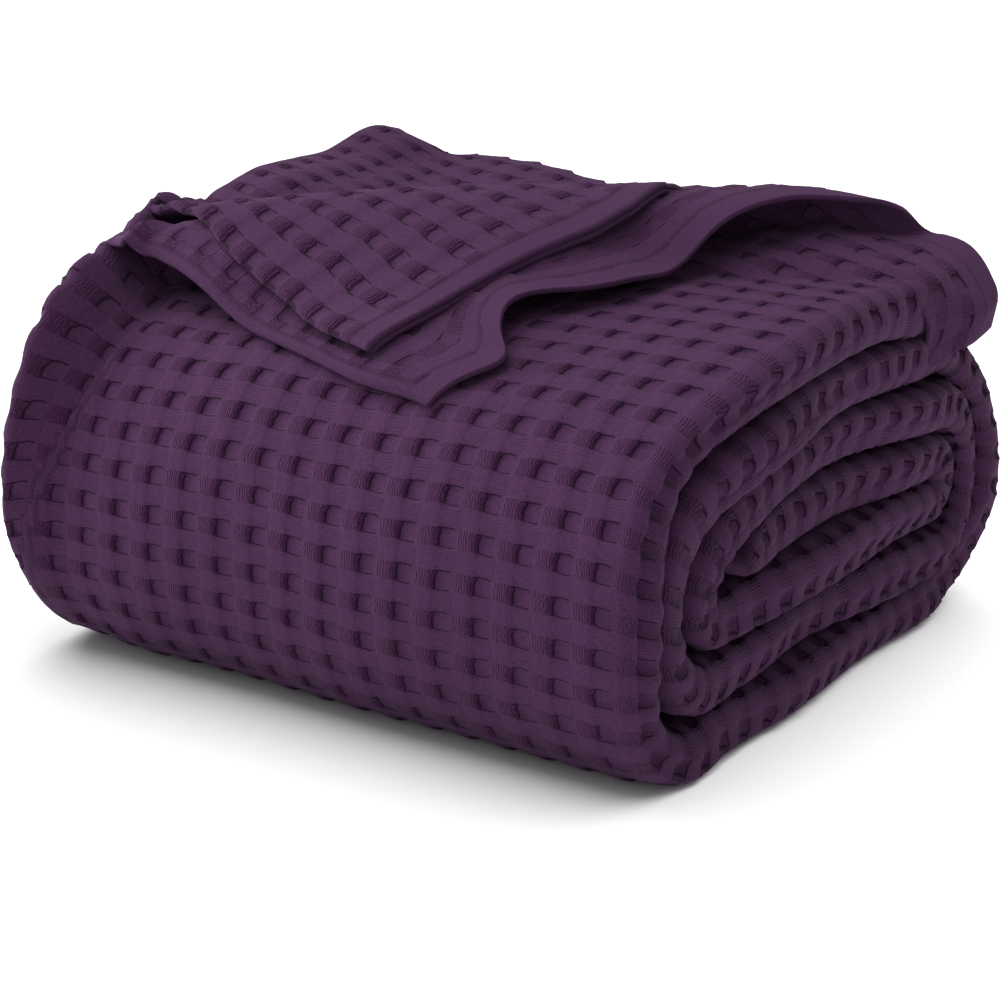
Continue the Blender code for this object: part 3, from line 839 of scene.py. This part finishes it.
# %% Lay out and fold the doubled ply
TOP_WIDTH, TOP_LENGTH = 170.0, 205.0  # mm, across and from the fold to the back
PLY_GAP = 1.25  # half the distance between the two plies' middles
END_DROOP, END_DROOP_REACH = 9.0, 20.0  # how its left end bends down
FOLD_REACH = 1.4  # how far its front fold stands out, in PLY_GAPs


def doubled_point(p, q):
    """Its point p mm from the left and q mm behind the fold, with q below 0 underneath."""
    s, t = p / TOP_WIDTH, np.abs(q) / TOP_LENGTH
    x, y = upper_plan(s, np.maximum(t - 0.01, 0))
    middle = over_roll(x, y, upper_height(x, y))
    droop = smooth(1 - p / END_DROOP_REACH) * (0.25 + 0.75 * smooth((-25 - y) / 35))
    middle[:, 2] -= END_DROOP * droop
    turn = np.clip(q / (math.pi * PLY_GAP / 2), -1, 1) * math.pi / 2
    middle[:, 2] += PLY_GAP * np.sin(turn)
    middle[:, 1] -= PLY_GAP * np.cos(turn) * FOLD_REACH
    return middle


def build_doubled_ply():
    across = TOP_WIDTH - cell_lines(0, TOP_WIDTH / CELL, LINES_U)[::-1] * CELL
    back = cell_lines(-TOP_LENGTH / CELL, TOP_LENGTH / CELL, LINES_V) * CELL
    mesh, i, j = woven_grid(len(across) - 1, len(back) - 1)
    p, q = across[i], back[j]
    u, v = p / CELL, q / CELL
    plain = hem_bands(TOP_WIDTH - p, p * 0 + 99)
    lift = relief(u, v) * (1 - plain)
    lift = np.where(q < -2, -0.3 * lift, lift)
    moved_u, moved_v = pulled(u, v)
    inside = smooth(p / 6) * (1 - plain) * smooth((TOP_LENGTH - np.abs(q)) / 6)
    p = p + (moved_u - u) * CELL * inside
    q = q + (moved_v - v) * CELL * inside * smooth(np.abs(q) / 4)
    points = raised(doubled_point, p, q, lift)
    return cloth_object("doubled_top", mesh, points, u, v, plain, 0 * u)


doubled_top = build_doubled_ply()
tidy_mesh(doubled_top)
give_thickness(doubled_top)

# %% [markdown]
# ## The cotton
# The finish is matt: a soft yarn with a little fuzz that catches the light. It reads the map
# of cells, so the ribs with painted shade in their valleys, the sunk pockets and the thin lines of
# painted shade along the blocks' edges lie exactly on the relief. Where the plies fold, it paints
# the floats lighter and the pockets darker, as painted light and shade. We could paint an image
# instead, but sums on the map stay sharp at any distance.

# %% Short names for a material's nodes
class Finish:
    """The nodes of one material."""

    def __init__(self, name):
        self.material = bpy.data.materials.new(name)
        self.material.use_nodes = True
        self.tree = self.material.node_tree
        self.shader = self.tree.nodes["Principled BSDF"]

    def add(self, kind, **settings):
        node = self.tree.nodes.new(kind)
        for key, value in settings.items():
            setattr(node, key, value)
        return node

    def put(self, socket, value):
        """Links another node's output, or sets a number or a colour."""
        if isinstance(value, bpy.types.NodeSocket):
            self.tree.links.new(value, socket)
        else:
            socket.default_value = (*value, 1.0) if isinstance(value, tuple) else value

    def fill(self, node, values):
        for name, value in values.items():
            self.put(node.inputs[name], value)

    def math(self, operation, *operands):
        node = self.add("ShaderNodeMath", operation=operation)
        for socket, value in zip(node.inputs, operands):
            self.put(socket, value)
        return node.outputs[0]

    def product(self, first, *others):
        for value in others:
            first = self.math("MULTIPLY", first, value)
        return first

    def opposite(self, value):
        return self.math("SUBTRACT", 1.0, value)

    def around_zero(self, noise, height):
        return self.product(self.math("SUBTRACT", noise, 0.5), height)

    def step(self, value, low, high):
        """0 below low, 1 above high, smooth between."""
        node = self.add("ShaderNodeMapRange", interpolation_type="SMOOTHSTEP")
        self.fill(node, {"Value": value, "From Min": low, "From Max": high})
        return node.outputs["Result"]

    def window(self, value, start, end, soft=0.03):
        """1 between start and end."""
        fall = self.step(value, end - soft / 2, end + soft / 2)
        return self.product(self.step(value, start - soft / 2, start + soft / 2), self.opposite(fall))

    def wave(self, value, count):
        """A sine wave with this many crests in a cell."""
        return self.math("SINE", self.math("MULTIPLY", value, 2 * math.pi * count))

    def noise(self, place, scale, detail=2.0, **settings):
        node = self.add("ShaderNodeTexNoise", **settings)
        self.fill(node, {"Vector": place, "Scale": scale, "Detail": detail})
        return node.outputs["Fac"]

    def mix(self, share, first, second):
        """A colour between two colours."""
        node = self.add("ShaderNodeMix", data_type="RGBA")
        for at, value in ((0, share), (6, first), (7, second)):
            self.put(node.inputs[at], value)
        return node.outputs[2]


# %% [markdown]
# ## Where a point lies in its cell
# The map's whole numbers count cells, and its fractions say where in a cell a point lies. Two
# windows of the fractions pick out each block: the floats, the pocket beside them and the
# ribbed block under the pocket. A slow noise moves the map a little, as no thread runs quite true.

# %% Read the map of cells
WANDER, WANDER_SCALE = 0.05, 2.3  # in cells


def read_weave(yarn):
    place = yarn.add("ShaderNodeUVMap", uv_map="weave").outputs[0]
    stray = yarn.noise(place, WANDER_SCALE, noise_dimensions="2D")
    shift = yarn.around_zero(stray, WANDER)
    split = yarn.add("ShaderNodeSeparateXYZ")
    yarn.put(split.inputs[0], place)
    u, v = (yarn.math("ADD", split.outputs[at], shift) for at in (0, 1))
    fu, fv = yarn.math("FRACT", u), yarn.math("FRACT", v)
    marks = [yarn.add("ShaderNodeAttribute", attribute_name=key) for key in ("plain_band", "painted_fold_shading")]
    band, painted_fold_shading = (mark.outputs["Fac"] for mark in marks)
    upper, lower = yarn.window(fv, 0.02, 0.48), yarn.window(fv, 0.52, 0.98)
    return SimpleNamespace(
        place=place, u=u, v=v, fu=fu, fv=fv, upper=upper,
        band=band, woven=yarn.opposite(band), painted_fold_shading=painted_fold_shading,
        pocket=yarn.product(yarn.window(fu, 0.49, 0.97), upper),
        floats=yarn.product(yarn.window(fu, 0.0, 0.47), upper),
        ribbed=yarn.product(yarn.window(fu, 0.52, 0.98), lower),
    )


# %% Ribs and threads
RIBS, FINE_RIBS, BLOCK = 7, 6, 0.48  # ribs along and across a block, and its size in cells
THREADS = 34  # threads of the plain cloth in a cell


def ribs_and_threads(yarn, weave):
    """Waves from 0 to 1 for the loose threads and for the fine ribs, and one for the threads."""
    ripple = yarn.noise(weave.place, 7.0, noise_dimensions="2D")
    bent = yarn.math("MULTIPLY_ADD", ripple, 0.10, weave.u)
    rib = yarn.math("MULTIPLY_ADD", yarn.wave(bent, RIBS / BLOCK), 0.5, 0.5)
    fine_rib = yarn.math("MULTIPLY_ADD", yarn.wave(weave.v, FINE_RIBS / BLOCK), 0.5, 0.5)
    return rib, fine_rib, yarn.product(yarn.wave(weave.u, THREADS), yarn.wave(weave.v, THREADS))


# %% Painted shade along the blocks' edges, and the stitched line of the hems
STITCHES, STITCH_DARK = 9, 0.5  # stitches in a cell


def line_at(yarn, distance, inner, outer):
    return yarn.opposite(yarn.step(distance, inner, outer))


# The pocket's top and bottom edges get painted shade, its left edge the painted shadow of the raised
# floats beside it, and the other edges of the blocks a faint painted shade.
def shade_lines_and_stitches(yarn, weave):
    def off(value, place):
        return yarn.math("ABSOLUTE", yarn.math("SUBTRACT", value, place))

    foot = yarn.math("MULTIPLY_ADD", off(weave.fv, 0.49), 1.6, 0.002)
    rows = line_at(yarn, yarn.math("MINIMUM", off(weave.fv, 0.02), foot), 0.008, 0.040)
    rows = yarn.product(rows, yarn.window(weave.fu, 0.43, 0.93, 0.06))
    side = off(weave.fu, 0.498)
    columns = yarn.product(line_at(yarn, side, 0.008, 0.036), weave.upper)
    faint = line_at(yarn, yarn.math("MINIMUM", off(weave.fu, 0.985), side), 0.004, 0.02)
    lines = yarn.math("MAXIMUM", yarn.math("MAXIMUM", rows, columns), yarn.product(faint, 0.20))
    stitch = yarn.math("MULTIPLY_ADD", yarn.wave(weave.v, STITCHES), 0.2, 0.8)
    stitch = yarn.product(yarn.window(weave.band, 0.2, 0.9, 0.3), stitch, STITCH_DARK)
    return yarn.math("MAXIMUM", yarn.product(lines, weave.woven), stitch)


# %% The colour
PURPLE = (0.064, 0.0235, 0.068)
DEEPER_PURPLE = tuple(0.86 * share for share in PURPLE)  # the cloth's cloudy places
FLOAT_PURPLE = (0.055, 0.0155, 0.055)  # between the loose threads
# The darkest purple paints shade: in the pockets at the folds, in the valleys between the ribs and along
# the blocks' edges. It also darkens the hems' stitched lines.
SHADE_AND_STITCH_PURPLE = (0.008, 0.001, 0.008)
CLOUD_SCALE, FUZZ = 22.0, 1.2


def cloth_colour(yarn, weave, rib, lines, speckle, object_place):
    base = yarn.mix(yarn.noise(object_place, CLOUD_SCALE), DEEPER_PURPLE, PURPLE)
    to_gap = yarn.math("MULTIPLY_ADD", yarn.step(weave.fu, 0.02, 0.40), 0.45, 0.55)
    loose = yarn.product(weave.floats, weave.woven, to_gap)
    # Where the plies fold, the floats keep less of their darker colour: a painted highlight on the
    # raised floats there.
    outside_fold_highlight = yarn.math("MULTIPLY_ADD", weave.painted_fold_shading, -0.75, 1.0)
    base = yarn.mix(yarn.product(loose, outside_fold_highlight), base, FLOAT_PURPLE)
    # Painted shade in the pockets where the plies fold.
    base = yarn.mix(yarn.product(weave.pocket, weave.painted_fold_shading, 0.12), base, SHADE_AND_STITCH_PURPLE)
    # Painted shade in the valleys between the float's ribs, deepest towards the pocket.
    base = yarn.mix(yarn.product(yarn.opposite(rib), loose, 0.42), base, SHADE_AND_STITCH_PURPLE)
    # Painted shade along the blocks' edges, and the hems' stitched lines.
    base = yarn.mix(yarn.product(lines, 0.8), base, SHADE_AND_STITCH_PURPLE)
    fuzz = yarn.around_zero(speckle, FUZZ)
    fuzzy = yarn.add("ShaderNodeHueSaturation")
    yarn.fill(fuzzy, {"Color": base, "Value": yarn.math("ADD", 1.0, fuzz)})
    return fuzzy.outputs[0]


# %% The height of the threads
RIB_HEIGHT, FINE_RIB_HEIGHT, LINE_DEPTH, THREAD_HEIGHT, FUZZ_HEIGHT = 0.42, 0.20, 0.30, 0.06, 0.25  # mm


def thread_height(yarn, weave, rib, fine_rib, threads, lines, speckle):
    height = yarn.product(rib, weave.floats, weave.woven, RIB_HEIGHT)
    crosswise = yarn.product(fine_rib, weave.ribbed, weave.woven, FINE_RIB_HEIGHT)
    height = yarn.math("ADD", height, crosswise)
    height = yarn.math("SUBTRACT", height, yarn.product(lines, LINE_DEPTH))
    height = yarn.math("MULTIPLY_ADD", threads, THREAD_HEIGHT, height)
    return yarn.math("MULTIPLY_ADD", speckle, FUZZ_HEIGHT, height)


# %% Put the cotton together
SPECKLE_SCALE = 1300.0


def cotton(name):
    yarn = Finish(name)
    weave = read_weave(yarn)
    object_place = yarn.add("ShaderNodeTexCoord").outputs["Object"]
    speckle = yarn.noise(object_place, SPECKLE_SCALE, detail=3.0)
    rib, fine_rib, threads = ribs_and_threads(yarn, weave)
    lines = shade_lines_and_stitches(yarn, weave)
    height = thread_height(yarn, weave, rib, fine_rib, threads, lines, speckle)
    relief_node = yarn.add("ShaderNodeBump")
    yarn.fill(relief_node, {"Strength": 0.9, "Distance": MM, "Height": height})
    yarn.fill(yarn.shader, {
        "Base Color": cloth_colour(yarn, weave, rib, lines, speckle, object_place),
        "Normal": relief_node.outputs[0],
        "Roughness": yarn.math("MULTIPLY_ADD", speckle, 0.12, 0.84),
        "Specular IOR Level": 0.10,
        "Sheen Weight": 0.08,
        "Sheen Roughness": 0.5,
        "Sheen Tint": (0.62, 0.4, 0.66),
    })
    return yarn.material


waffle_cotton = cotton("waffle_cotton")
print("the cotton has", len(waffle_cotton.node_tree.nodes), "nodes")

# %% Dress the pieces in it
for piece in (outer_turn, inner_turns, turned_back, doubled_top):
    piece.data.materials.clear()
    piece.data.materials.append(waffle_cotton)
    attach(piece, "root")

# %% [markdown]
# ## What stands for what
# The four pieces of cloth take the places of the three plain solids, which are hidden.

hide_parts("wound_roll")
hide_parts("wound_roll")
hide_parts("turned_back_ply")
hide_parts("doubled_top_ply")

# %% [markdown]
# ## Floor, light and camera
# The roll lies on a plain pale floor in soft studio light from the upper left.

# %% The floor
bpy.ops.mesh.primitive_plane_add(size=12.0, location=(0, 0, -0.5 * MM))
floor = bpy.context.active_object
floor.name = "studio_floor"
white = Finish("studio_white")
white.fill(white.shader, {"Base Color": (0.90, 0.90, 0.90), "Roughness": 0.9})
floor.data.materials.append(white.material)

# %% The light
# The slanting light falls on the cloth alone, and a steeper one on the floor alone, as the
# cloth's own shadow would otherwise lie long and dark beside it.
def soft_lamp(kind, name, energy, towards, lit, **softness):
    light = bpy.data.lights.new(name, kind)
    light.energy = energy
    for key, value in softness.items():
        setattr(light, key, value)
    lamp = bpy.data.objects.new(name, light)
    lamp.rotation_euler = Vector(towards).to_track_quat("Z", "Y").to_euler()
    scene.collection.objects.link(lamp)
    lamp.light_linking.receiver_collection = lit
    return lamp


floor_only = bpy.data.collections.new("floor_only")
scene.collection.children.link(floor_only)
floor_only.objects.link(floor)
soft_lamp("SUN", "window", 2.7, (-0.44, -0.12, 0.89), COLLECTION, angle=math.radians(60))
soft_lamp("SUN", "ceiling", 4.0, (-0.08, 0.30, 0.95), floor_only, angle=math.radians(100))
side_lamp = soft_lamp("AREA", "side", 3.4, (-0.55, -0.16, 0.20), COLLECTION, size=0.35)
side_lamp.location = (-0.62, -0.26, 0.30)
world = scene.world or bpy.data.worlds.new("studio")
scene.world = world
world.use_nodes = True
sky = world.node_tree.nodes["Background"].inputs
sky["Color"].default_value = (1.0, 1.0, 1.0, 1.0)
sky["Strength"].default_value = 0.48
scene.view_settings.view_transform = "Standard"

# %% The camera
AZIMUTH, ELEVATION = math.radians(34.2244), math.radians(17.4617)
lens = bpy.data.cameras.new("camera")
lens.lens = 89.56
lens.sensor_width = 36.0
camera = bpy.data.objects.new("camera", lens)
camera.location = (0.5480236, -0.820604, 0.3629546)
camera.rotation_euler = (math.pi / 2 - ELEVATION, 0.0, AZIMUTH)
scene.collection.objects.link(camera)
scene.camera = camera
